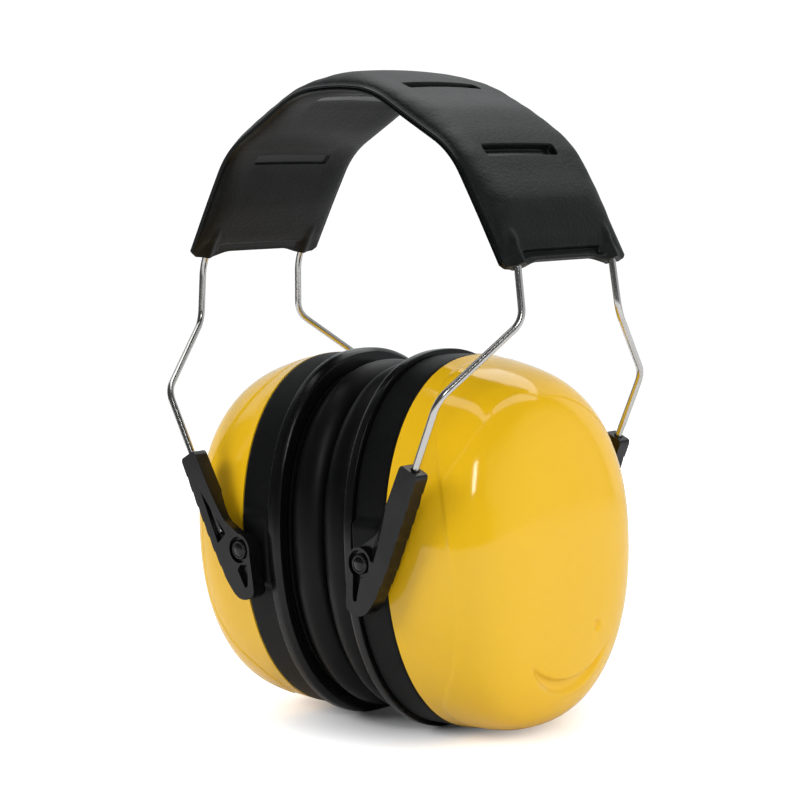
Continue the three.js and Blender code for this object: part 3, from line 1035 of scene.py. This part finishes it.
def pad_heights(u, v, reach):
    """Heights of the upper and lower sheet above the pad's middle line."""
    puff = pad_puff(u, v, reach)
    top = PAD["edge"] + puff + pad_wrinkle(u, v)
    bottom = -PAD["edge"] - PAD["lower_puff"] * puff
    for slot in SLOTS:
        outside = slot_distance(u, v, slot)
        dip = 1 - smooth(outside, -0.55, 0.1)
        near_crown = abs(slot[0]) < SLOT_FLOOR["through"]
        dent = 0.5 * (1 - smooth(outside, -1.5, 5)) if near_crown else dip
        top = top + (SLOT_FLOOR["upper"] - top) * dip
        bottom = bottom + (SLOT_FLOOR["lower"] - bottom) * dent
    droop = PAD["droop"] * (v / PAD["half_width"]) ** 2 * (1 - 0.85 * smooth(np.abs(u), 20, 80))
    return top - droop, bottom - droop


# ---- Assembly ----

CUP_PIECES = [
    ("shell", outer_shell, "yellow_shell", ["outer_shell"]),
    ("cup", inner_cup, "matte_black", ["inner_cup"]),
    ("rim", rim_ring, "gloss_black", ["rim_ring"]),
    ("plate", cushion_plate, "matte_black", ["cushion_plate"]),
    ("cushion", cushion, "cushion_vinyl", ["cushion_skin", "cushion_foam"]),
    ("absorber", absorber, "grey_foam", ["absorber_foam"]),
]


def moved_copy(piece, name, move=HALF_TURN):
    """A copy moved by a matrix, or turned half round about the upright axis."""
    mesh = piece.data.copy()
    mesh.transform(move)
    return linked(name, mesh)


def place(piece, body, slot, nodes):
    """Says what a piece moves with and what it replaces; slot is not used."""
    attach(piece, body)
    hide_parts(*nodes)


def build_cups():
    for label, build, slot, nodes in CUP_PIECES:
        right = build(f"{label}_right_look")
        left = moved_copy(right, f"{label}_left_look")
        for piece, side in ((right, "right"), (left, "left")):
            place(piece, f"cup_{side}", slot, [f"{node}_{side}" for node in nodes])


def place_four(label, front_right, to_rear, body, node):
    """Places a piece at the front right, its copy at the rear, and both turned round to the left."""
    rear_right = moved_copy(front_right, f"{label}_rear_right_look", to_rear)
    pieces = {
        ("front", "right"): front_right,
        ("rear", "right"): rear_right,
        ("rear", "left"): moved_copy(front_right, f"{label}_rear_left_look"),
        ("front", "left"): moved_copy(rear_right, f"{label}_front_left_look"),
    }
    for (end, side), piece in pieces.items():
        words = {"end": end, "side": side}
        place(piece, body.format(**words), "gloss_black", [node.format(**words)])


def build_arms():
    arm_to_rear = Matrix.Translation((0, 2 * WIRE["lower_bend"][1] * MM, 0))
    front_arm = arm("arm_front_right_look")
    place_four("arm", front_arm, arm_to_rear, "arm_{end}_{side}", "arm_{end}_{side}")
    pin_to_rear = Matrix.Translation((2 * PIVOT_PLACE[0] * MM, 0, 0)) @ HALF_TURN
    front_pin = pivot_pin("pin_front_right_look")
    place_four("pin", front_pin, pin_to_rear, "cup_{side}", "pivot_pin_{end}_{side}")


def bend_at_crown(piece, nodes):
    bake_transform(piece)
    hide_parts(*[f"{node}_{side}" for node in nodes for side in ("left", "right")])


def build_headband():
    bend_at_crown(wire("wire_front_look", -1), ["wire_front"])
    bend_at_crown(wire("wire_rear_look", 1), ["wire_rear"])
    covers = ["pad_cover_upper", "pad_cover_lower", "pad_foam"]
    bend_at_crown(pad("headband_pad_look"), covers)


def finish_hidden_foam():
    """The foam rings between the shells stay CAD nodes, with the foam's look."""
    for side in ("right", "left"):
        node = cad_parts[f"spacer_foam_{side}"]
        node.data.materials.clear()
        node.data.materials.append(LOOKS["grey_foam"])


# ---- Camera, floor and light ----

# right, up and back are the camera's own axes.
CAMERA = {
    "lens": 91.6,
    "shift": (-0.0075, 0.0816),
    "place": (0.46056, -0.47329, 0.16144),
    "right": (0.71966, 0.69288, -0.04491),
    "up": (-0.04966, 0.11589, 0.99202),
    "back": (0.69255, -0.71168, 0.11781),
}


def build_camera():
    data = bpy.data.cameras.new("camera")
    data.lens = CAMERA["lens"]
    data.sensor_width = 36
    data.shift_x, data.shift_y = CAMERA["shift"]
    data.clip_start = 0.01
    camera = linked("camera", data)
    axes = Matrix([CAMERA[key] for key in ("right", "up", "back")]).transposed()
    camera.matrix_world = Matrix.Translation(CAMERA["place"]) @ axes.to_4x4()
    bpy.context.scene.camera = camera


# The floor glows more the farther it is from the middle of the shadow, between two distances in metres.
FLOOR = {"radius": 900, "drop": 0.05, "middle": (0, 0.015, 0), "fade": (0.03, 0.066), "glow": (0.02, 0.75)}


def build_floor():
    """A pale disc that glows outwards to the camera, so that it melts into the white background."""
    points = [(x, y, 0) for x, y in circle((0, 0), FLOOR["radius"], 96)]
    look = Shading("floor_paint_and_glow", (0.86, 0.86, 0.87), 0.8)
    distance = look.nodes.new("ShaderNodeVectorMath")
    distance.operation = "DISTANCE"
    distance.inputs[1].default_value = FLOOR["middle"]
    look.links.new(look.place, distance.inputs[0])
    # The glow is painted light that only the camera sees. It is faintest at the middle of the shadow.
    glow = look.ramp(distance.outputs["Value"], *FLOOR["fade"], *FLOOR["glow"])
    ray = look.nodes.new("ShaderNodeLightPath")
    look.shader.inputs["Emission Color"].default_value = (1, 1, 1, 1)
    shown = look.multiplied(glow, ray.outputs["Is Camera Ray"])
    look.links.new(shown, look.shader.inputs["Emission Strength"])
    floor = new_object("floor", points, [tuple(range(len(points)))], look.material)
    floor.location.z = -FLOOR["drop"] * MM


# Bright walls that light the muffs and show in their gloss: where each is, the cosines of the angles
# off its middle between which it fades, and its strength.
WALLS = [
    {"toward": (-0.62, 0.76, 0.2), "edge": (0.45, 0.6), "strength": 0.85},
    {"toward": (0.8, 0.6, 0.0), "edge": (0.66, 0.95), "strength": 0.6},
]
ROOM_STRENGTH = 0.07


def build_world():
    """White to the camera. To everything else it is a dim room with bright walls."""
    world = bpy.data.worlds.new("studio")
    bpy.context.scene.world = world
    world.use_nodes = True
    nodes = world.node_tree.nodes
    links = world.node_tree.links
    direction = nodes.new("ShaderNodeTexCoord").outputs["Generated"]
    brightest = nodes.new("ShaderNodeValue")
    brightest.outputs["Value"].default_value = ROOM_STRENGTH
    for wall in WALLS:
        facing = nodes.new("ShaderNodeVectorMath")
        facing.operation = "DOT_PRODUCT"
        facing.inputs[1].default_value = wall["toward"]
        links.new(direction, facing.inputs[0])
        fade = nodes.new("ShaderNodeMapRange")
        fade.interpolation_type = "SMOOTHSTEP"
        fade.inputs["From Min"].default_value = wall["edge"][0]
        fade.inputs["From Max"].default_value = wall["edge"][1]
        fade.inputs["To Max"].default_value = wall["strength"]
        links.new(facing.outputs["Value"], fade.inputs["Value"])
        both = nodes.new("ShaderNodeMath")
        both.operation = "MAXIMUM"
        links.new(brightest.outputs["Value"], both.inputs[0])
        links.new(fade.outputs["Result"], both.inputs[1])
        brightest = both
    room = nodes["Background"]
    room.inputs["Color"].default_value = (0.95, 0.98, 1, 1)
    links.new(brightest.outputs["Value"], room.inputs["Strength"])
    backdrop = nodes.new("ShaderNodeBackground")
    backdrop.inputs["Color"].default_value = (1, 1, 1, 1)
    backdrop.inputs["Strength"].default_value = 1.05
    mix = nodes.new("ShaderNodeMixShader")
    ray = nodes.new("ShaderNodeLightPath")
    links.new(ray.outputs["Is Camera Ray"], mix.inputs["Fac"])
    links.new(room.outputs["Background"], mix.inputs[1])
    links.new(backdrop.outputs["Background"], mix.inputs[2])
    links.new(mix.outputs["Shader"], nodes["World Output"].inputs["Surface"])


def softbox(name, spot, target, size, power, shines=True):
    """An area light. One that doesn't shine only fills, and isn't seen in glossy surfaces."""
    data = bpy.data.lights.new(name, "AREA")
    data.shape = "RECTANGLE"
    data.size, data.size_y = size
    data.energy = power
    light = linked(name, data)
    light.location = spot
    light.visible_glossy = shines
    light.rotation_euler = (Vector(target) - Vector(spot)).to_track_quat("-Z", "Y").to_euler()


def build_lights():
    middle = (0, 0, 0.09)
    softbox("overhead", (0.0, 0.3, 1.1), middle, (1.1, 1.2), 8.4)
    softbox("edge_box", (0.95, -0.75, 0.7), middle, (0.14, 0.42), 2.6)
    softbox("right_fill", (1.15, -0.1, 0.55), middle, (0.5, 0.7), 5.2, shines=False)
    softbox("left_fill", (-0.75, -0.95, 0.65), middle, (0.6, 0.6), 9.5, shines=False)


build_camera()
build_world()
build_floor()
build_lights()
build_cups()
build_arms()
build_headband()
finish_hidden_foam()
bpy.context.scene.view_settings.view_transform = "Standard"
